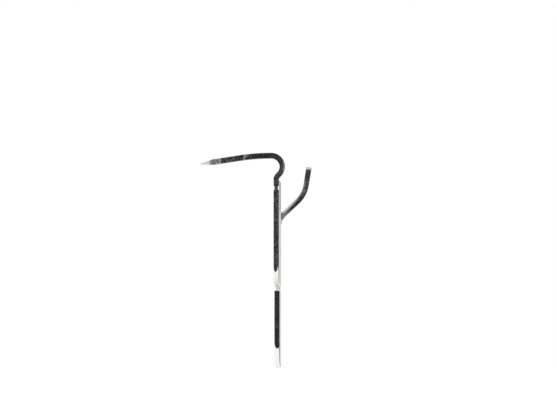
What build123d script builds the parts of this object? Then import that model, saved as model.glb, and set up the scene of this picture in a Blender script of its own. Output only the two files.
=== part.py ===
from build123d import *
from math import cos, radians
import os

# Drywall picture hook: one steel stamping, folded to shape.
# Frame, in millimetres: Y = 0 is the face of the wall and +Y goes into it, Z is up, X is along the wall.
# The origin is on the wall face, on the centre line, level with the bottom of the slots.
# The sizes and the drawing below count heights from the square shoulders of the foot; the finished hook
# is set down on its origin at the end.

# ---------------------------------------------------------------- sheet
sheet = 0.85               # thickness of the steel
body_width = 24.0          # overall width of the plate

# ---------------------------------------------------------------- plate
foot_height = 12.1         # from the shoulders down to the bottom edge
foot_corner = 4.1          # radius of the two bottom corners
waist_notch = 4.1          # depth of the notch on each side, above the shoulders
waist_height = 0.33        # straight side of the waist, below the notch's curve
waist_root = 0.15          # radius of the corners at the inner end of each notch
shoulder_corner = 0.2      # radius of the foot's square shoulders
field_relief = 0.34        # how far the middle of the plate is pressed out from its rim
foot_relief = 0.22         # the same on the foot, whose rim therefore stands a little off the wall
rim_width = 0.8            # flat rim on each long side; the plate's bears on the wall
field_margin = 0.1         # the raised field is wider than the waist by this much on each side
field_fade = 0.7           # height over which the raised field runs out below the arms' bend

# ---------------------------------------------------------------- arms and prongs
neck_height = 17.5         # top of the flat plate, where the arms start to bend
nick_drop = 1.37           # small relief nick in the outer edge of each arm, below the bend
nick_radius = 0.15
jog_angle = 42.0           # the arms lean out from the wall by this angle
jog_inside = 0.28          # inside radius of that bend
jog_run = 0.49             # straight run between the two bends
over_bend_inside = 1.3     # inside radius of the turn over towards the wall
prong_bow = 33.7           # radius of the prongs' gentle bow, on the mid-line of the sheet
prong_dip = 8.8            # slope at which the bow ends; from there the prongs run straight
prong_reach = 11.45        # depth of the prong tips behind the wall face
prong_straight = 1.0       # length after the turn over which the prongs keep the arms' width
prong_blend = 8.0          # radius that leads from there into the taper
prong_end_share = 0.65     # width where the point starts, as a share of the arms'
point_length = 3.1         # length of the point, seen from above
point_flat = 0.24          # width left at the very tip
grind_length = 2.05        # length of the bevels ground on the top and bottom of each point
grind_land = 0.12          # thickness left at the very tip

# ---------------------------------------------------------------- hook tongue
tongue_share = 0.3333      # width of the tongue, as a share of the plate's
slot_share = 0.425         # width of the slot on each side, as a share of the tongue's
slot_corner = 0.6          # radius at the outer bottom corner of each slot
slot_bottom = 9.68         # height of the bottom of the slots
root_flat = 0.3            # flat stretch from there up to the bend at the tongue's root
root_inside = 2.35         # inside radius of the bend at the root
root_angle = 47.0          # the tongue leans out from the wall by this angle
tongue_rise = 2.86         # straight run after the root
lip_inside = 4.175         # inside radius of the bend that turns the lip up
lip_angle = 38.0           # the lip turns up by this angle
lip_run = 2.84             # straight run of the lip
lip_corner = 0.8           # radius of the corners of the free end

# ---------------------------------------------------------------- edges
edge_roll = 0.14           # rounding that the blanking die leaves along the front side of the sheet
smooth_turn = 45.0         # faces belong to one side of the sheet where they turn by less than this

# ---------------------------------------------------------------- worked out
tongue_width = tongue_share * body_width
slot_width = slot_share * tongue_width
arm_width = (body_width - tongue_width) / 2 - slot_width
prong_end_width = prong_end_share * arm_width
arm_centre = (body_width - arm_width) / 2
window_half = tongue_width / 2 + slot_width
root_flare = slot_width - slot_corner
rim_middle = -sheet / 2
field_middle = rim_middle - field_relief
waist_middle = waist_height / 2
plenty = 4 * body_width    # longer than anything that is cut


def bend_on(line, inside_radius, angle):
    """Bend of the sheet that carries on from a line's end; a positive angle turns away from the wall."""
    return JernArc(start=line @ 1, tangent=line % 1, radius=inside_radius + sheet / 2, arc_size=angle)


def run_on(line, length):
    """Straight run of the sheet that carries on from a line's end."""
    return Line(line @ 1, line @ 1 + length * (line % 1))


def folded_strip(path, width):
    """Sheet that follows a mid-line drawn in the side view, centred on X = 0."""
    section = trace(path, line_width=sheet)
    return extrude(Plane.YZ * section, amount=width / 2, both=True)


def through_side(outline):
    """Prism that passes right through the hook along X, from an outline in the side view."""
    return extrude(Plane.YZ * outline, amount=plenty, both=True)


def through_front(outline):
    """Prism that passes right through the hook along Y, from an outline in the front view."""
    return extrude(Plane.XZ * outline, amount=plenty, both=True)


def make_plate_and_prongs():
    """The strip that runs up the plate, through the jog and the turn over the top, and along the prongs."""
    plate_line = Line((rim_middle, waist_middle), (rim_middle, neck_height))
    jog_bend = bend_on(plate_line, jog_inside, jog_angle)
    jog = run_on(jog_bend, jog_run)
    over_bend = bend_on(jog, over_bend_inside, -(jog_angle + 90))
    bow = JernArc(start=over_bend @ 1, tangent=over_bend % 1, radius=prong_bow, arc_size=-prong_dip)
    prong = run_on(bow, (prong_reach - (bow @ 1).X) / cos(radians(prong_dip)))
    strip = folded_strip([plate_line, jog_bend, jog, over_bend, bow, prong], body_width)
    fade_start = neck_height - field_fade
    fade = sweep_between((0, neck_height), (-field_relief, fade_start), (0, -1))
    front_line = Line((-field_relief, fade_start), (-field_relief, waist_middle))
    back_line = Polyline((-field_relief, waist_middle), (0, waist_middle), (0, neck_height))
    strip = press_field(strip, make_face([fade, front_line, back_line]), field_relief)
    strip = strip & through_front(plate_outline())
    return strip - prong_clearance((over_bend @ 1).X) - point_grind(prong)


def make_foot():
    """The foot and the lower half of the waist; its raised field is level with the plate's."""
    foot_line = Line((rim_middle, -foot_height), (rim_middle, waist_middle))
    height = foot_height + waist_middle
    side_view = Pos(-foot_relief / 2, waist_middle - height / 2) * Rectangle(foot_relief, height)
    strip = press_field(folded_strip([foot_line], body_width), side_view, foot_relief)
    return Pos(0, foot_relief - field_relief, 0) * strip & through_front(plate_outline())


def press_field(strip, side_view, relief):
    """Press the middle of a strip out: the same low form is added in front and taken away behind."""
    rim = body_width / 2 - rim_width
    field = body_width / 2 - waist_notch + field_margin
    side_sweep = sweep_between((rim, 0), (field, -relief), (-1, 0))
    front = Line((field, -relief), (-field, -relief))
    back = Line((-rim, 0), (rim, 0))
    plan = make_face([side_sweep, mirror(side_sweep, Plane.YZ), front, back])
    form = extrude(plan, amount=plenty, both=True) & through_side(side_view)
    return strip + Pos(0, -sheet, 0) * form - form


def sweep_between(start, end, heading):
    """Two equal arcs that lead from one level to another, and are level at both ends."""
    middle = (Vector(start) + Vector(end)) / 2
    first = TangentArc(start, middle, tangent=heading)
    second = TangentArc(middle, end, tangent=first % 1)
    return first + second


def plate_outline():
    """Front view of the plate and arms, with the foot, the notched waist, the window and the nicks."""
    half = body_width / 2
    foot = Pos(0, -foot_height / 2) * Rectangle(body_width, foot_height)
    foot = fillet(foot.vertices().group_by(Axis.Y)[0], foot_corner)
    waist_top = waist_height + waist_notch
    waist = Pos(0, waist_top / 2) * Rectangle(body_width - 2 * waist_notch, waist_top)
    upper = Pos(0, waist_height + plenty / 2) * Rectangle(body_width, plenty)
    upper = fillet(upper.vertices().group_by(Axis.Y)[0], waist_notch)
    outline = foot + waist + upper
    notch_corners = outline.vertices().filter_by_position(Axis.Y, -waist_root, waist_height + waist_root)
    inner = half - waist_notch / 2
    outline = fillet(notch_corners.filter_by_position(Axis.X, -inner, inner), waist_root)
    shoulders = outline.vertices().filter_by_position(Axis.Y, -shoulder_corner, shoulder_corner)
    outline = fillet([shoulders.sort_by(Axis.X)[0], shoulders.sort_by(Axis.X)[-1]], shoulder_corner)
    window = Pos(0, slot_bottom + plenty / 2) * Rectangle(2 * window_half, plenty)
    window = fillet(window.vertices().group_by(Axis.Y)[0], slot_corner)
    nick = Pos(half, neck_height - nick_drop) * Circle(nick_radius)
    return outline - window - nick - mirror(nick, Plane.YZ)


def prong_clearance(bend_end):
    """What is cut away, in plan, between the prongs and beside them as they narrow to their points."""
    taper_start = bend_end + prong_straight
    point_start = prong_reach - point_length
    half_blade = Polyline(
        (0, bend_end),
        (arm_width / 2, bend_end),
        (arm_width / 2, taper_start),
        (prong_end_width / 2, point_start),
        (point_flat / 2, prong_reach),
        (0, prong_reach),
        close=True,
    )
    half_blade = make_face(half_blade)
    shoulder = half_blade.vertices().sort_by_distance((arm_width / 2, taper_start))[0]
    half_blade = fillet(shoulder, prong_blend)
    blade = Pos(arm_centre, 0) * (half_blade + mirror(half_blade, Plane.YZ))
    beyond_the_bend = Pos(0, bend_end + plenty / 2) * Rectangle(plenty, plenty)
    return extrude(beyond_the_bend - blade - mirror(blade, Plane.YZ), amount=plenty, both=True)


def point_grind(prong):
    """The two wedges that are ground off each point, above and below, in the side view."""
    tip = prong @ 1
    along = prong % 1
    up = Vector(-along.Y, along.X)
    wedges = Sketch()
    for side in (up, -up):
        heel = tip - grind_length * along + (sheet / 2) * side
        edge = tip + (grind_land / 2) * side
        beyond = edge + (edge - heel)
        wedges += make_face(Polyline(heel, beyond, beyond + plenty * side, heel + plenty * side, close=True))
    return through_side(wedges)


def tongue_outline():
    """Front view of the tongue, with the flare where it joins the plate."""
    flare_half = tongue_width / 2 + root_flare
    from_the_root = (Align.CENTER, Align.MIN)
    blank = Pos(0, slot_bottom) * Rectangle(tongue_width, plenty, align=from_the_root)
    skirt = Pos(0, slot_bottom) * Rectangle(2 * flare_half, root_flare, align=from_the_root)
    hollow = Pos(flare_half, slot_bottom + root_flare) * Circle(root_flare)
    return blank + (skirt - hollow - mirror(hollow, Plane.YZ))


def make_tongue():
    """The hook's tongue, from inside the plate to its free end."""
    root_line = Line((field_middle, slot_bottom - root_flat), (field_middle, slot_bottom + root_flat))
    root_bend = bend_on(root_line, root_inside, root_angle)
    rise = run_on(root_bend, tongue_rise)
    lip_bend = bend_on(rise, lip_inside, -lip_angle)
    lip = run_on(lip_bend, lip_run)
    strip = folded_strip([root_line, root_bend, rise, lip_bend, lip], 2 * window_half)
    strip = strip & through_front(tongue_outline())
    free_end = strip.faces().sort_by(Axis.Z)[-1]
    return fillet(free_end.edges().filter_by(Axis.X, reverse=True), lip_corner)


def front_skin(hook):
    """The faces of the sheet's front side, found by going on from the raised field over its smooth edges."""
    faces_at = {}
    for face in hook.faces():
        for edge in face.edges():
            faces_at.setdefault(edge, []).append(face)
    skin = [hook.faces().filter_by(Plane.XZ).sort_by(Axis.Y)[0]]
    for face in skin:
        for edge in face.edges():
            middle = edge @ 0.5
            for other in faces_at[edge]:
                turn = face.normal_at(middle).get_angle(other.normal_at(middle))
                if turn < smooth_turn and other not in skin:
                    skin.append(other)
    return skin


def rolled_edges(hook):
    """The outline of the front skin, apart from the ground points."""
    faces_with = {}
    for face in front_skin(hook):
        for edge in face.edges():
            faces_with[edge] = faces_with.get(edge, 0) + 1
    outline = ShapeList(edge for edge, faces in faces_with.items() if faces == 1)
    return ShapeList(edge for edge in outline if (edge @ 0.5).Y < prong_reach - point_length)


stamping = make_foot() + make_plate_and_prongs() + make_tongue()
picture_hook = Pos(0, 0, -slot_bottom) * fillet(rolled_edges(stamping), edge_roll)

print("solids", len(picture_hook.solids()), "valid", picture_hook.is_valid)
print("volume mm3", round(picture_hook.volume, 2), "box", picture_hook.bounding_box())

os.makedirs("parts", exist_ok=True)
export_step(picture_hook, "parts/picture_hook.step")
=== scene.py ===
# %% [markdown]
# # Drywall picture hook
# A picture hook that needs no nail: two prongs push into the plasterboard and curve down behind its face,
# the plate bears on the wall with the rims along its sides, and the tongue in front carries the frame. It
# is stamped from one strip of steel 0.85 mm thick and folded, so there is one piece to dress and no joint
# to keep free.
#
# The steel wears a thin black coat. Where the cut edge turns a corner, in the notches, at the bottoms of
# the slots, on the rounded corners and on the tongue's free end, bare bright steel is painted in as a
# painted reflection, placed by the turn and not by wear. It is filed off the points and worn thin in
# places, and painted highlights of steel lie along the tongue's back edge, at its root and along the
# plate's front arrises. There the steel shows. This script gives the hook that finish, a floor, soft
# light and a camera.

from math import cos, radians, sin

import bpy
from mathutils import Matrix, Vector


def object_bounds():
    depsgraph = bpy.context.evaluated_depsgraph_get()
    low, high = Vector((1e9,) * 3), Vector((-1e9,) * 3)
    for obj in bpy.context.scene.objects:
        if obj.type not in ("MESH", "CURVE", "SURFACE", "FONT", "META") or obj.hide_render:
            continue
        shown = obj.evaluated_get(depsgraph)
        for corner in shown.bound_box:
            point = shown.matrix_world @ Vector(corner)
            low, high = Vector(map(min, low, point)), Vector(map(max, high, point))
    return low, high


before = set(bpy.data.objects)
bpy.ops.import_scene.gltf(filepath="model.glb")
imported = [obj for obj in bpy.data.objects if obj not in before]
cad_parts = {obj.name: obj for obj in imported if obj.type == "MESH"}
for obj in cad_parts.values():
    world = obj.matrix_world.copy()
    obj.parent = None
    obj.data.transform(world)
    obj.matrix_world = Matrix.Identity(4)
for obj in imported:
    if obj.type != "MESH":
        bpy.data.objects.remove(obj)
cad_low, cad_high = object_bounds()
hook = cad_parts["picture_hook"]
print("the hook is", [round(1000 * side, 2) for side in cad_high - cad_low], "mm")

# %% [markdown]
# ## Where things are on the hook
# The finish changes from place to place, so the material has to know where it is. The places below are in
# millimetres. Depths are the hook's own: Y = 0 is the wall's face and +Y goes into the wall. Heights are
# counted up from the square shoulders of the foot, as on a drawing of the hook; its own origin is level
# with the bottom of the slots. Widths are counted from the centre line. The tongue is three runs in the
# side view: a straight rise, a bend on a centre behind it, and a straight lip.

# %% Places on the hook, in millimetres
SHEET = 0.85
SIDE = 12.0  # half the width of the plate
NECK_TOP = 17.5  # the flat plate ends here and the arms start to bend
FIELD_END = 16.7  # the plate's raised middle slopes away from here up to the neck
RIM_SIDE = 11.4  # and lies within this distance of the centre line
SLOT_BOTTOM = 9.68
SLOT_SIDE = 7.4  # the slots and the tongue lie within this distance of the centre line
NOTCH_TOP = 1.2  # the narrow part of the waist's notches ends here
NICK = 16.13  # the relief nicks in the arms' outer edges
ARMS_BACK = -3.1  # the arms stay behind this depth, the tongue's lip in front of it
TONGUE_FRONT = -1.37  # the plate's own front skin never comes this far out
PRONG_TAPERS = 1.0  # depth from which the prongs' edges draw together
POINT_START = 8.35  # depth at which the ground points start

RISE_LEAN = radians(47)
RISE_END = (-3.74, 13.96)  # depth and height where the rise meets the lip's bend, on the mid-line
LIP_BEND = 4.6  # radius of that bend, on the mid-line
lip_centre = (RISE_END[0] + LIP_BEND * cos(RISE_LEAN), RISE_END[1] + LIP_BEND * sin(RISE_LEAN))
print("the lip bends round", [round(number, 2) for number in lip_centre])

# %% [markdown]
# ## Arithmetic with nodes
# A finish that follows the shape needs sums, and each sum in a shader is a Math node. Placing and linking
# dozens of them by hand hides what they mean. The small class below lets the sum be written as it would
# be on paper: `a * b + c` makes a Multiply node and an Add node and links them. A mask is such a number
# too: 1 where something is so, and 0 where it isn't. Two masks multiplied mean "both".


# %% A number that lives in a shader
class Sum:
    """The output of a node, which makes a further Math node when it is added to, multiplied and so on."""

    def __init__(self, tree, socket):
        self.tree = tree
        self.socket = socket

    def _with(self, operation, *others, swap=False):
        node = self.tree.nodes.new("ShaderNodeMath")
        node.operation = operation
        values = [self, *others]
        if swap:
            values.reverse()
        for socket, value in zip(node.inputs, values):
            if isinstance(value, Sum):
                self.tree.links.new(value.socket, socket)
            else:
                socket.default_value = value
        return Sum(self.tree, node.outputs[0])

    def __add__(self, other):
        return self._with("ADD", other)

    def __sub__(self, other):
        return self._with("SUBTRACT", other)

    def __rsub__(self, other):
        return self._with("SUBTRACT", other, swap=True)

    def __mul__(self, other):
        return self._with("MULTIPLY", other)

    def __truediv__(self, other):
        return self._with("DIVIDE", other)

    __radd__ = __add__
    __rmul__ = __mul__

    def over(self, limit):
        """1 where this is more than the limit, and 0 elsewhere."""
        return self._with("GREATER_THAN", limit)

    def size(self):
        """This without its sign."""
        return self._with("ABSOLUTE")

    def root(self):
        """The square root."""
        return self._with("SQRT")

    def most(self, other):
        """The larger of the two."""
        return self._with("MAXIMUM", other)

    def least(self, other):
        """The smaller of the two."""
        return self._with("MINIMUM", other)

    def ramp(self, start, end):
        """0 up to start, 1 from end on, and a smooth step between them."""
        node = self.tree.nodes.new("ShaderNodeMapRange")
        node.interpolation_type = "SMOOTHSTEP"
        node.inputs["From Min"].default_value = start
        node.inputs["From Max"].default_value = end
        self.tree.links.new(self.socket, node.inputs["Value"])
        return Sum(self.tree, node.outputs["Result"])


def between(low, high, share):
    """The value that lies a share of the way from low to high. The share is a Sum."""
    return low + (high - low) * share


print("sums can now be written as nodes")

# %% [markdown]
# ## Node groups
# Each effect is a group with named inputs and outputs. It can then be placed in a material like any other
# node and given its own values there. The first helper makes an empty group with its sockets; the group's
# inside follows in its own cell. The second takes a vector apart.

# %% Helpers for groups
NUMBER = "NodeSocketFloat"
VECTOR = "NodeSocketVector"


def new_group(name, inputs, outputs):
    """An empty shader group. inputs maps a name to (socket type, usual value), outputs a name to a type."""
    group = bpy.data.node_groups.new(name, "ShaderNodeTree")
    for label, (kind, usual) in inputs.items():
        socket = group.interface.new_socket(name=label, in_out="INPUT", socket_type=kind)
        if usual is not None:
            socket.default_value = usual
    for label, kind in outputs.items():
        group.interface.new_socket(name=label, in_out="OUTPUT", socket_type=kind)
    return group, group.nodes.new("NodeGroupInput"), group.nodes.new("NodeGroupOutput")


def split(tree, vector):
    """The three numbers of a vector."""
    node = tree.nodes.new("ShaderNodeSeparateXYZ")
    tree.links.new(vector, node.inputs[0])
    return [Sum(tree, output) for output in node.outputs]


print("groups can now be made")

# %% [markdown]
# ## Parts of the hook
# The plate, the foot, the arms and the stretch by the slots follow different rules, so the first thing a
# point has to know is which of them it is on. Vertex groups or an attribute on the mesh would say it too,
# but the mesh is the CAD model's and stays as it is. A few comparisons of the position do the same.

# %% Which part of the hook a point is on
NECK_MARGIN = 0.1  # the arms' rules start this much below the neck
SLOT_MARGIN = 0.3  # and what is this close to the slots follows the tongue's
SHOULDER = 0.32  # the foot's shoulders keep their coat this near to their height
SHOULDER_SIDE = 11.83  # and this far from the centre line; further in are the notch's walls


def parts_of_the_hook(x, y, z):
    """Masks for the arms, for what is by the slots, for the rest of the plate, and for the foot."""
    above_neck = z.over(NECK_TOP - NECK_MARGIN)
    on_arms = above_neck * y.over(ARMS_BACK)
    by_slots = z.over(SLOT_BOTTOM - SLOT_MARGIN) * (1 - x.size().over(SLOT_SIDE + SLOT_MARGIN))
    on_plate = (1 - above_neck) * (1 - by_slots)
    on_foot = 1 - z.over(SHOULDER)
    return on_arms, by_slots, on_plate, on_foot


print("the foot's rules end", SHOULDER, "mm above its shoulders")

# %% [markdown]
# ## Skins and cut edges
# A sheared sheet has two smooth skins and a torn edge all round, and they take a coat differently. The
# surface's own normal tells them apart. On the arms' bends the edges are what faces sideways, and
# elsewhere what faces neither front nor back. The plate's raised middle slopes away below the neck: that
# slope faces upwards, but it is still skin, so it is named as an exception.

# %% Telling the cut edges from the skins
SIDEWAYS = 0.3  # a face whose normal has a larger X part is a cut edge
FLAT_ON_PLATE = 0.97  # the plate's skins keep a Y part above this
FLAT_ON_BENDS = 0.35  # and the leaning tongue's one above this


def find_cut_edge(x, z, across, out, on_arms, on_plate):
    """1 on the cut edges of the sheet and 0 on its skins."""
    field_slope = z.over(FIELD_END) * (1 - x.size().over(RIM_SIDE))
    flat_limit = between(FLAT_ON_BENDS, FLAT_ON_PLATE, on_plate * (1 - field_slope))
    faces_edgeways = (1 - on_arms) * (1 - (out.size() - flat_limit).over(0.0))
    return across.size().over(SIDEWAYS).most(faces_edgeways)


print("the plate is skin where the Y part of its normal is over", FLAT_ON_PLATE)

# %% [markdown]
# ## Bare steel at the turns, a painted reflection
# Where the outline of the plate turns away, round a corner or into a notch, bare bright steel is painted
# in. It stands for the pale reflection that these turned faces show, and it is placed by the turn, not
# where handling would rub the coat through. A mask painted by hand would need an image, and one from the
# mesh's sharpness would follow its triangles. The surface's own normal gives the turn: on a cut edge that
# faces straight sideways its Z part is 0, and it grows as the edge turns. In the middle of the edge the
# coat ends at a turn of 21 degrees on the upper plate, 15 on the foot and 30 by the slots. It ends sooner
# near the two arrises, so the black runs out to a rounded point. The front arris of the upper plate is a
# bright painted highlight as well, and the foot's is not.
#
# Two measures are made: how far the edge has turned, and how far a point is from the middle of the edge.
# Each is 1 where it would end the coat by itself.

# %% How far the edge has turned, and how near an arris it is
BODY_TURN = sin(radians(21))  # the coat ends where the upper plate's edge has turned this far
FOOT_TURN = sin(radians(15))
TONGUE_TURN = sin(radians(30))
ROLL_SHARE = 1.15  # keeps the rolled front edge of the tongue, which leans, from counting as a turn
BODY_COAT = (0.06, -0.72)  # depths between which the coat is whole on the upper plate's cut edge
FOOT_COAT = (-0.14, -0.98)  # the same on the foot's cut edge
NICK_COAT = 0.27  # in the nicks it is whole this far to each side of the sheet's middle


def find_turn(y, out, up, on_arms, by_slots, on_foot):
    """How far the edge has turned. The prongs' edges turn inwards instead of up, where they taper."""
    limit = BODY_TURN + on_foot * (FOOT_TURN - BODY_TURN) + by_slots * (TONGUE_TURN - BODY_TURN)
    turned_up = up * up - ROLL_SHARE * out * out
    turned_in = out * out * y.over(PRONG_TAPERS)
    return (turned_up * (1 - on_arms) + turned_in * on_arms) / (limit * limit)


def find_off_middle(y, on_plate, on_foot, at_nick):
    """How far a point is from the middle of the coated strip, which is 1 along the strip's borders."""
    back = between(BODY_COAT[0], FOOT_COAT[0], on_foot)
    front = between(BODY_COAT[1], FOOT_COAT[1], on_foot)
    in_strip = (2 * y - back - front) / (back - front) * on_plate * (1 - at_nick)
    return in_strip + (y + SHEET / 2) / NICK_COAT * at_nick


print("the coat ends at turns whose sines are", [round(turn, 2) for turn in (BODY_TURN, FOOT_TURN)])

# %% [markdown]
# ## The group that places the bare steel of the painted reflection
# The group adds the first measure and the square of the second. The foot's square shoulders and the nicks
# keep their coat in the middle of the edge, although they turn sharply, and the narrow part of each notch
# is bare all through. A little noise keeps the border from looking drawn.

# %% Bare turns, painted as reflection
NICK_REACH = 0.3  # a nick's rule holds this far above and below it
NICK_DEPTH = 0.15  # and this far in from the shoulders' rule
NOTCH_FLOOR = -0.05  # the narrow part of the notches starts just above this height
BORDER = (0.85, 1.2)  # the coat thins out between these values of the two measures' sum
BORDER_WAVES = 3.0  # per mm


def make_bare_turns():
    group, given, made = new_group(
        "bare_turns",
        {"Position": (VECTOR, None), "Normal": (VECTOR, None), "Raggedness": (NUMBER, 0.3)},
        {"Bare": NUMBER, "Cut Edge": NUMBER},
    )
    x, y, z = split(group, given.outputs["Position"])
    across, out, up = split(group, given.outputs["Normal"])
    on_arms, by_slots, on_plate, on_foot = parts_of_the_hook(x, y, z)
    cut_edge = find_cut_edge(x, z, across, out, on_arms, on_plate)

    at_nick = (NICK_REACH - (z - NICK).size()).over(0) * x.size().over(SHOULDER_SIDE - NICK_DEPTH)
    at_corner = z.over(-SHOULDER) * on_foot * x.size().over(SHOULDER_SIDE)
    in_notch = z.over(NOTCH_FLOOR) * (1 - z.over(NOTCH_TOP)) * (1 - x.size().over(SHOULDER_SIDE))
    turn = find_turn(y, out, up, on_arms, by_slots, on_foot) * (1 - at_corner.most(at_nick))
    off_middle = find_off_middle(y, on_plate, on_foot, at_nick)

    noise = group.nodes.new("ShaderNodeTexNoise")
    noise.inputs["Scale"].default_value = BORDER_WAVES
    noise.inputs["Detail"].default_value = 3.0
    group.links.new(given.outputs["Position"], noise.inputs["Vector"])
    ragged = (Sum(group, noise.outputs["Fac"]) - 0.5) * Sum(group, given.outputs["Raggedness"])

    # bright bare steel at the turns: a painted reflection, placed by the turn and not by wear
    bare = (turn + off_middle * off_middle + ragged).ramp(*BORDER).most(in_notch) * cut_edge
    group.links.new(bare.socket, made.inputs["Bare"])
    group.links.new(cut_edge.socket, made.inputs["Cut Edge"])
    return group


bare_turns = make_bare_turns()
print("made the group", bare_turns.name, "with", len(bare_turns.nodes), "nodes")

# %% [markdown]
# ## The painted highlight on the tongue
# Along the back of the tongue's cut edge a band of dull steel, mostly bare, is painted in. It stands for
# the highlight that light from above makes on that upper arris, not for smooth steel left by the shears.
# It is about a third of the sheet wide on the straight rise. It starts to fade a third of the way up the
# rise, narrows from the rise's upper part round the bend, and its last trace ends on the lip. A second
# material on the edge's faces would stop at their borders, and the band covers only a part of each. So the
# group works out how far a point is from the tongue's back skin: from a straight line on the rise, and
# from the bend's centre further up. Distances along the tongue count from the end of the rise, in the
# rise's own direction.

# %% The group that finds the band
BAND_WIDTH = 0.31
BAND_LOSS = 0.14  # the band narrows by this much
BAND_NARROWS = (-1.0, 2.2)  # between these distances along the tongue
BAND_FADES = (-1.8, 1.2)  # three quarters of it fade here
BAND_ENDS = (2.0, 4.2)  # and the rest here
BAND_BLUR = 0.05
BAND_ROOT = 0.25  # depth over which the band comes out of the plate's skin


def make_tongue_band():
    group, given, made = new_group("tongue_band", {"Position": (VECTOR, None)}, {"Band": NUMBER})
    y, z = split(group, given.outputs["Position"])[1:]
    from_end_y = y - RISE_END[0]
    from_end_z = z - RISE_END[1]
    along = from_end_z * cos(RISE_LEAN) - from_end_y * sin(RISE_LEAN)
    straight = from_end_y * cos(RISE_LEAN) + from_end_z * sin(RISE_LEAN)
    reach_y = y - lip_centre[0]
    reach_z = z - lip_centre[1]
    bent = LIP_BEND - (reach_y * reach_y + reach_z * reach_z).root()
    on_bend = along.over(0)
    from_back = SHEET / 2 - (straight * (1 - on_bend) + bent * on_bend)

    # the band is a painted highlight along the tongue's back arris
    width = BAND_WIDTH - BAND_LOSS * along.ramp(*BAND_NARROWS)
    inside = 1 - (from_back - width).ramp(-BAND_BLUR, BAND_BLUR)
    strength = 1 - 0.75 * along.ramp(*BAND_FADES) - 0.25 * along.ramp(*BAND_ENDS)
    on_tongue = 1 - (y - TONGUE_FRONT).ramp(-BAND_ROOT, 0.0)
    group.links.new((inside * strength * on_tongue).socket, made.inputs["Band"])
    return group


tongue_band = make_tongue_band()
print("made the group", tongue_band.name)

# %% [markdown]
# ## Grain of the coat and of the steel
# The coat is a thin dip coat over pickled steel. It is not even: fine pits drink the light and fine
# grains stand out. An image of worn metal would need the sheet laid out flat, and noise doesn't, because
# it is read at each point's place in space. One group serves the cut edges, where the grain is coarse
# because the shears tore the metal, the smooth skins, where it is fine, the scuffs, and the long marks of
# the rolling mill, for which its position is stretched. It gives a mask of flecks, one of pits, and a
# height.

# %% The grain group
FLECK_BLUR = 0.12


def make_grain():
    group, given, made = new_group(
        "grain",
        {"Position": (VECTOR, None), "Grains per mm": (NUMBER, 4.0), "Sparseness": (NUMBER, 0.6)},
        {"Fleck": NUMBER, "Pit": NUMBER, "Height": NUMBER},
    )
    noise = group.nodes.new("ShaderNodeTexNoise")
    noise.inputs["Detail"].default_value = 4.0
    noise.inputs["Roughness"].default_value = 0.65
    group.links.new(given.outputs["Position"], noise.inputs["Vector"])
    group.links.new(given.outputs["Grains per mm"], noise.inputs["Scale"])
    level = Sum(group, noise.outputs["Fac"])
    sparse = Sum(group, given.outputs["Sparseness"])
    fleck = (level - sparse).ramp(0.0, FLECK_BLUR)
    pit = 1 - (level + sparse - 1).ramp(-FLECK_BLUR, 0.0)
    group.links.new(fleck.socket, made.inputs["Fleck"])
    group.links.new(pit.socket, made.inputs["Pit"])
    group.links.new(level.socket, made.inputs["Height"])
    return group


grain = make_grain()
print("made the group", grain.name)

# %% [markdown]
# ## The finish
# One material covers the hook, because it is one piece of steel with one coat. It is built up over the
# next cells. First come the position in millimetres, the bare turns of painted reflection and the band of
# painted highlight, then the grain, then the wear with its painted highlights, and last the colours.
# Metallic, colour and roughness all follow the same masks, so a place is never half paint and half metal
# in one of them only.

# %% The material, its position and its first masks
black_steel = bpy.data.materials.new("black_coat_over_steel")
black_steel.use_nodes = True
tree = black_steel.node_tree
shader = tree.nodes["Principled BSDF"]


def add_effect(tree, group, position, **values):
    """A node in the material that holds the group, read at a position and with its own values."""
    node = tree.nodes.new("ShaderNodeGroup")
    node.node_tree = group
    tree.links.new(position, node.inputs["Position"])
    for label, value in values.items():
        node.inputs[label.replace("_", " ")].default_value = value
    return node


where = tree.nodes.new("ShaderNodeTexCoord")
millimetres = tree.nodes.new("ShaderNodeVectorMath")
millimetres.operation = "MULTIPLY_ADD"
millimetres.inputs[1].default_value = (1000, 1000, 1000)
millimetres.inputs[2].default_value = (0, 0, SLOT_BOTTOM)
tree.links.new(where.outputs["Object"], millimetres.inputs[0])
position = millimetres.outputs[0]
x, y, z = split(tree, position)

# the bare turns: bright steel painted in for the pale reflection of turned faces
turns = add_effect(tree, bare_turns, position)
tree.links.new(where.outputs["Normal"], turns.inputs["Normal"])
bare = Sum(tree, turns.outputs["Bare"])
cut_edge = Sum(tree, turns.outputs["Cut Edge"])
skin = 1 - cut_edge
band = add_effect(tree, tongue_band, position)
# dull steel painted in as a highlight on the tongue's upper arris
burnish = Sum(tree, band.outputs["Band"]) * cut_edge
print("started the material", black_steel.name)

# %% [markdown]
# ## Grain, blotches and rolling marks
# The grain group is placed four times, each with its own fineness. The rub marks on the prongs come
# closer together with depth, so their sparseness is linked to it. The skins also have wide soft blotches,
# as a dip coat does, and rolling marks: noise that is squeezed in width and depth and drawn out in
# height. That puts long marks on the plate and the tongue. On the prongs, which lie level, the same noise
# is a fine grain.

# %% Grain, blotches and rolling marks
RUB_SPARSE, RUB_CLOSER = 0.70, 0.16  # sparseness of the rub marks at the wall, and how much it drops
RUB_DEPTH = 5.0  # until this deep
BLOTCHES = 0.35  # blotches per mm
BLOTCH_RANGE = (0.35, 0.75)
ROLLING_GRAIN = (9.0, 9.0, 0.5)  # grains per mm in width, depth and height
ROLLING_RANGE = (0.38, 0.66)

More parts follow.
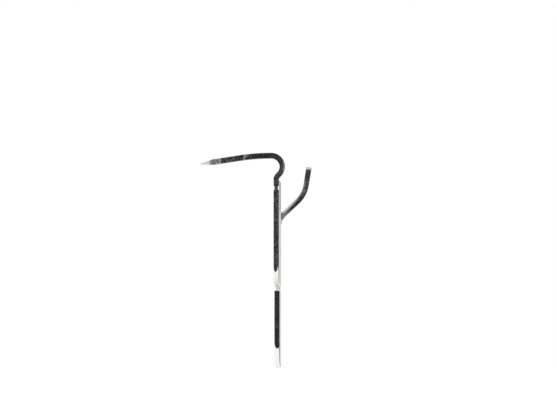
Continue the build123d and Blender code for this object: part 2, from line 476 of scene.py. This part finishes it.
edge_grain = add_effect(tree, grain, position, Grains_per_mm=3.2, Sparseness=0.58)
skin_grain = add_effect(tree, grain, position, Grains_per_mm=7.0, Sparseness=0.66)
rub = add_effect(tree, grain, position, Grains_per_mm=2.2)
rub_sparseness = RUB_SPARSE - RUB_CLOSER * y.ramp(0.0, RUB_DEPTH)
tree.links.new(rub_sparseness.socket, rub.inputs["Sparseness"])
rub_level = Sum(tree, rub.outputs["Height"])
fine_level = Sum(tree, skin_grain.outputs["Height"])

blotch = tree.nodes.new("ShaderNodeTexNoise")
blotch.inputs["Scale"].default_value = BLOTCHES
blotch.inputs["Detail"].default_value = 6.0
blotch.inputs["Roughness"].default_value = 0.7
tree.links.new(position, blotch.inputs["Vector"])
mottle = Sum(tree, blotch.outputs["Fac"]).ramp(*BLOTCH_RANGE)

stretched = tree.nodes.new("ShaderNodeVectorMath")
stretched.operation = "MULTIPLY"
stretched.inputs[1].default_value = ROLLING_GRAIN
tree.links.new(position, stretched.inputs[0])
rolling = add_effect(tree, grain, stretched.outputs[0], Grains_per_mm=1.0)
streaks = Sum(tree, rolling.outputs["Height"]).ramp(*ROLLING_RANGE)
print("rolling marks are about", round(1 / ROLLING_GRAIN[2]), "mm long")

# %% [markdown]
# ## Wear, and painted highlights
# Handling rubs the coat where the hook stands proud. There are scuffs on the arms' bends, on the prongs
# and on the cut edge of the lip. A narrow line of dull steel on the skins along the plate's sides and the
# top of the lip is partly wear and partly a painted highlight, for the pale glancing light of the front
# skin. The line is strongest right at the arris, and weaker on the foot. Fine grain and the blotches are
# added to it before it is cut off, so its inner border breaks up as worn paint does. At the tongue's root
# grey steel is painted on the cut edge, and lower down the edge is bright bare steel: a painted reflection
# of the root's bend, not a coat stretched thin. The cap is the tongue's free end, where the bare steel of
# the painted reflection is dull.

# %% Masks for the wear and the painted highlights
# the plate's line along its sides is partly wear and partly a painted highlight
LINE_STARTS = 10.9  # distance from the centre line at which the plate's line of wear starts
LIP_LINE = (18.6, 19.6)  # and the heights over which the lip's grows
FOOT_LINE = 0.6  # strength of the line on the foot, against the upper plate's
LINE_GRAIN, LINE_BLOTCH = 1.3, 0.35  # how much the grain and the blotches break it up
LINE_RANGE = (0.55, 1.05)
LINE_WEAR = 0.8  # share of the coat that is gone in the line
LIP_SCUFF_STARTS, LIP_SCUFF_ENDS = (14.6, 15.8), (16.8, 18.0)  # heights
LIP_SCUFF_RANGE = (0.40, 0.60)
ROOT_BARE, ROOT_PALE, ROOT_DARK = 10.8, 11.3, 13.0  # heights at the tongue's root
CAP = 18.5  # above this the bare steel in front is the tongue's free end

on_arms = z.over(NECK_TOP) * y.over(ARMS_BACK)
on_lip_side = 1 - y.over(ARMS_BACK)
in_front = 1 - y.over(TONGUE_FRONT + 0.1)

scuff = on_arms * Sum(tree, rub.outputs["Fleck"])
on_lip = z.ramp(*LIP_SCUFF_STARTS) * (1 - z.ramp(*LIP_SCUFF_ENDS)) * on_lip_side
lip_scuff = on_lip * rub_level.ramp(*LIP_SCUFF_RANGE) * cut_edge

# the line along the sides and the lip's top: partly wear, partly a painted highlight of glancing light
near_sides = x.size().ramp(LINE_STARTS, SIDE) * (1 - z.over(NECK_TOP))
near_sides = near_sides * between(FOOT_LINE, 1.0, z.over(0))
near_lip = z.ramp(*LIP_LINE) * on_lip_side
line = near_sides.most(near_lip) * 0.95
line = line + (fine_level - 0.5) * LINE_GRAIN + (mottle - 0.4) * LINE_BLOTCH
worn = line.ramp(*LINE_RANGE) * skin * LINE_WEAR

# bright bare and grey steel at the tongue's root is a painted reflection of the root's bend
root_bare = (1 - z.ramp(ROOT_BARE, ROOT_PALE)) * in_front * cut_edge
root_wear = (1 - z.ramp(ROOT_PALE, ROOT_DARK)) * in_front * cut_edge
# the tongue's free end keeps the painted reflection of the bare turns, dulled to grey
cap = z.over(CAP) * on_lip_side * bare
# the line printed here is partly wear and partly a painted highlight
print("the line of wear is at most", round(SIDE - LINE_STARTS, 1), "mm wide")

# %% [markdown]
# ## The ground points
# The points are filed after the hook is coated. The files leave grey, coarse steel where they start, and
# it grows lighter towards the tip: partly polish, and partly a painted glint at the tip. A second material
# there would end in a hard line. A ramp in depth doesn't, and the noise of the rub marks makes its border
# wander, and the polish and glint with it.

# %% Filed steel, with a painted glint at the tip
GROUND_BORDER = 0.15
POLISH_STARTS, POLISH_ENDS = 1.2, 2.6  # distances past the start of the points
POLISH_RANGE = (0.25, 1.1)

ground = (y + rub_level - 0.5).ramp(POINT_START - GROUND_BORDER, POINT_START + GROUND_BORDER)
# the grain moves the polish and painted glint towards the tip or away from it
polish = rub_level * 1.6 - 0.3 + y.ramp(POINT_START + POLISH_STARTS, POINT_START + POLISH_ENDS)
polish = polish.ramp(*POLISH_RANGE)
print("the points are filed from", POINT_START, "mm deep")

# %% [markdown]
# ## Colour of the coat
# Black coat on a cut edge runs from deep black to a dark grey where it lies thin on the grain. The cut
# edge is set lighter on the upper plate than on the foot, and darkest on the prongs just past their bend.
# Flecks are grains of steel that stand out of it, and they show on the prongs all the same. On the skins
# the blotches and the rolling marks thin it.


# %% The coat
def blend_colours(tree, share, first, second):
    """A colour between two others. Each is a socket or a plain colour."""
    node = tree.nodes.new("ShaderNodeMix")
    node.data_type = "RGBA"
    tree.links.new(share.socket, node.inputs["Factor"])
    for socket, colour in ((node.inputs[6], first), (node.inputs[7], second)):
        if isinstance(colour, bpy.types.NodeSocket):
            tree.links.new(colour, socket)
        else:
            socket.default_value = (*colour, 1.0)
    return node.outputs[2]


COAT_DEEP = (0.004, 0.004, 0.004)
COAT_THIN = (0.060, 0.060, 0.062)
COAT_PIT = (0.001, 0.001, 0.001)
COAT_FLECK = (0.17, 0.17, 0.175)
EDGE_RANGE = (0.38, 0.62)
PRONG_FLECKS = 0.8

# how light the cut edge is set: 1.2 on the upper plate, 0.5 on the foot and 0.25 on the prongs past their
# bend
thick_on_prongs = on_arms * y.ramp(-1.0, 1.5) * (1 - 0.7 * y.ramp(3.0, POINT_START))
thinness = 1.2 - 0.7 * (1 - z.over(0)) - 0.95 * thick_on_prongs
edge_level = Sum(tree, edge_grain.outputs["Height"])
thin = edge_level.ramp(*EDGE_RANGE) * thinness * cut_edge + (mottle * 0.25 + streaks * 0.35) * skin
pit = Sum(tree, edge_grain.outputs["Pit"]) * cut_edge
fleck = Sum(tree, edge_grain.outputs["Fleck"]) * cut_edge
fleck = fleck + Sum(tree, skin_grain.outputs["Fleck"]) * skin * 0.35
shown_fleck = fleck * thinness.least(1.0).most(PRONG_FLECKS * on_arms)

coat = blend_colours(tree, thin, COAT_DEEP, COAT_THIN)
coat = blend_colours(tree, pit, coat, COAT_PIT)
coat = blend_colours(tree, shown_fleck, coat, COAT_FLECK)
print("coated; the material has", len(tree.nodes), "nodes so far")

# %% [markdown]
# ## Colour of the steel
# Bare steel at the turns, the painted reflection, is bright. Where it is rubbed rather than sheared it is
# dull, and so, in part, are the painted highlights at the tongue's root and free end, and the painted
# highlight band by half. How much steel shows, the steel share, is the strongest of all the masks. It
# mixes coat and steel, and it is the metallic value as well.

# %% The steel, and coat and steel together
# bright steel serves real wear and the painted reflections at the turns alike
STEEL = (0.90, 0.90, 0.89)
DULL_STEEL = (0.36, 0.36, 0.37)
GROUND_DARK = (0.10, 0.10, 0.105)
GROUND_LIGHT = (0.62, 0.62, 0.62)

# grey steel of the root's painted reflection, above its bright lower part
root_grey = root_wear * z.ramp(ROOT_BARE, ROOT_PALE) * (1 - burnish)
greyed = burnish * 0.5 + scuff + worn + root_grey + cap * 0.75
steel = blend_colours(tree, greyed.least(1.0), STEEL, DULL_STEEL)
# filed steel grows lighter to the tip: partly polish, partly a painted glint
steel = blend_colours(tree, ground, steel, blend_colours(tree, polish, GROUND_DARK, GROUND_LIGHT))

thin_steel = (burnish * 0.8 + scuff * 0.7 + root_wear * 0.5 + lip_scuff * 0.15).least(1.0)
steel_share = bare.most(thin_steel).most(ground).most(worn).most(root_bare)
tree.links.new(blend_colours(tree, steel_share, coat, steel), shader.inputs["Base Color"])
tree.links.new(steel_share.socket, shader.inputs["Metallic"])
print("steel and coat are mixed")

# %% [markdown]
# ## Gloss
# The skins have a thin layer of gloss over a rougher coat. The cut edges have none, and a little bump
# from their grain instead. A soft sheen at a low angle, as a dusty satin black has, lies over all of it.
# What is the same all over sits on the shader's own sockets.

# %% Gloss and bump
# 0.42 on coat and bare steel, more on flecks, down to 0.22 on rubbed or filed steel and painted highlights
roughness = 0.42 + 0.12 * fleck - 0.2 * steel_share + 0.2 * bare
tree.links.new(roughness.socket, shader.inputs["Roughness"])
tree.links.new(((1 - steel_share) * skin).socket, shader.inputs["Coat Weight"])
shader.inputs["Coat Roughness"].default_value = 0.05
shader.inputs["Specular IOR Level"].default_value = 0.15
shader.inputs["Sheen Weight"].default_value = 1.0
shader.inputs["Sheen Roughness"].default_value = 0.4

bump = tree.nodes.new("ShaderNodeBump")
bump.inputs["Distance"].default_value = 0.00003
bump.inputs["Strength"].default_value = 0.6
tree.links.new((edge_level * cut_edge * (1 - bare)).socket, bump.inputs["Height"])
tree.links.new(bump.outputs["Normal"], shader.inputs["Normal"])

hook.data.materials.clear()
hook.data.materials.append(black_steel)
print("the hook wears", hook.data.materials[0].name, "made of", len(tree.nodes), "nodes")

# %% [markdown]
# ## Floor
# The wall that holds the hook is left out, so the hook hangs free, and the floor is a plain pale sheet
# about 8 mm below its foot. Its colour is near white. What the camera or a bright surface sees of it gets
# a little more, so that it runs into the white background without a line and still keeps the hook's
# shadow.

# %% The floor
FLOOR_SIZE = 1.6
FLOOR_DROP = 0.0082  # the hook hangs this far above the floor
FLOOR_COLOUR = 0.86
FLOOR_LIFT = 0.3


def seen_directly(tree):
    """1 for what the camera sees, directly, in a mirror or through glass, and 0 for other light."""
    path = tree.nodes.new("ShaderNodeLightPath")
    rays = [Sum(tree, path.outputs[f"Is {kind} Ray"]) for kind in ("Camera", "Glossy", "Transmission")]
    return rays[0].most(rays[1]).most(rays[2])


bpy.ops.object.select_all(action="DESELECT")
bpy.ops.mesh.primitive_plane_add(size=FLOOR_SIZE, location=(0, 0, cad_low.z - FLOOR_DROP))
floor = bpy.context.object
floor.name = "floor"
bpy.ops.object.transform_apply(location=True)

pale = bpy.data.materials.new("pale_floor")
pale.use_nodes = True
nodes, links = pale.node_tree.nodes, pale.node_tree.links
nodes.remove(nodes["Principled BSDF"])
matt = nodes.new("ShaderNodeBsdfDiffuse")
matt.inputs["Color"].default_value = (FLOOR_COLOUR, FLOOR_COLOUR, FLOOR_COLOUR, 1)
lift = nodes.new("ShaderNodeEmission")
links.new((seen_directly(pale.node_tree) * FLOOR_LIFT).socket, lift.inputs["Strength"])
both = nodes.new("ShaderNodeAddShader")
links.new(matt.outputs[0], both.inputs[0])
links.new(lift.outputs[0], both.inputs[1])
links.new(both.outputs[0], nodes["Material Output"].inputs["Surface"])
floor.data.materials.append(pale)
print("the floor is", FLOOR_SIZE, "m wide")

# %% [markdown]
# ## Light
# The world is a soft white room. A picture of a real room would light the hook too, but its windows and
# colours would show in the steel. Bright surfaces mirror the white room as white, and it lights the hook
# a little less, because two big soft lamps give the rest and some direction.

# %% The room
ROOM_LIGHT = 0.72
WHITE = (1, 1, 1, 1)

room = bpy.data.worlds.new("white_room")
room.use_nodes = True
bpy.context.scene.world = room
nodes, links = room.node_tree.nodes, room.node_tree.links
lights_things = nodes["Background"]
lights_things.inputs["Color"].default_value = WHITE
lights_things.inputs["Strength"].default_value = ROOM_LIGHT
is_seen = nodes.new("ShaderNodeBackground")
is_seen.inputs["Color"].default_value = WHITE
choose = nodes.new("ShaderNodeMixShader")
links.new(seen_directly(room.node_tree).socket, choose.inputs[0])
links.new(lights_things.outputs[0], choose.inputs[1])
links.new(is_seen.outputs[0], choose.inputs[2])
links.new(choose.outputs[0], nodes["World Output"].inputs["Surface"])
print("the room gives", ROOM_LIGHT, "of the light")


# %% Two soft lamps
def soft_lamp(name, place, size, power):
    """A square lamp that faces the hook."""
    light = bpy.data.lights.new(name, "AREA")
    light.size = size
    light.energy = power
    lamp = bpy.data.objects.new(name, light)
    bpy.context.scene.collection.objects.link(lamp)
    lamp.location = place
    lamp.rotation_euler = (-lamp.location).to_track_quat("-Z", "Y").to_euler()
    return lamp


soft_lamp("key_lamp", place=(-0.35, -0.55, 0.65), size=0.5, power=1.6)
soft_lamp("fill_lamp", place=(0.6, 0.35, 0.5), size=0.6, power=0.8)

# %% [markdown]
# ## Camera
# The hook is seen exactly from its side, level with it, through a long lens from far off, so the far arm
# hides behind the near one. An orthographic camera would hide it wholly, and a real lens doesn't. The
# view is as wide as 87 mm at the hook.

# %% The camera
VIEW_WIDTH = 0.0872
CAMERA_FAR = 2.5
AIM = Vector((0, -0.0007, 0.00361))

camera_data = bpy.data.cameras.new("long_lens")
camera = bpy.data.objects.new("camera", camera_data)
bpy.context.scene.collection.objects.link(camera)
camera_data.sensor_width = 36
camera_data.lens = camera_data.sensor_width * CAMERA_FAR / VIEW_WIDTH
camera_data.clip_start = 0.1
camera_data.clip_end = 20
camera.location = AIM + Vector((cad_low.x - CAMERA_FAR, 0, 0))
camera.rotation_euler = (radians(90), 0, radians(-90))
bpy.context.scene.camera = camera
bpy.context.scene.view_settings.view_transform = "Standard"
print("the lens is", round(camera_data.lens), "mm, at", round(CAMERA_FAR, 2), "m")
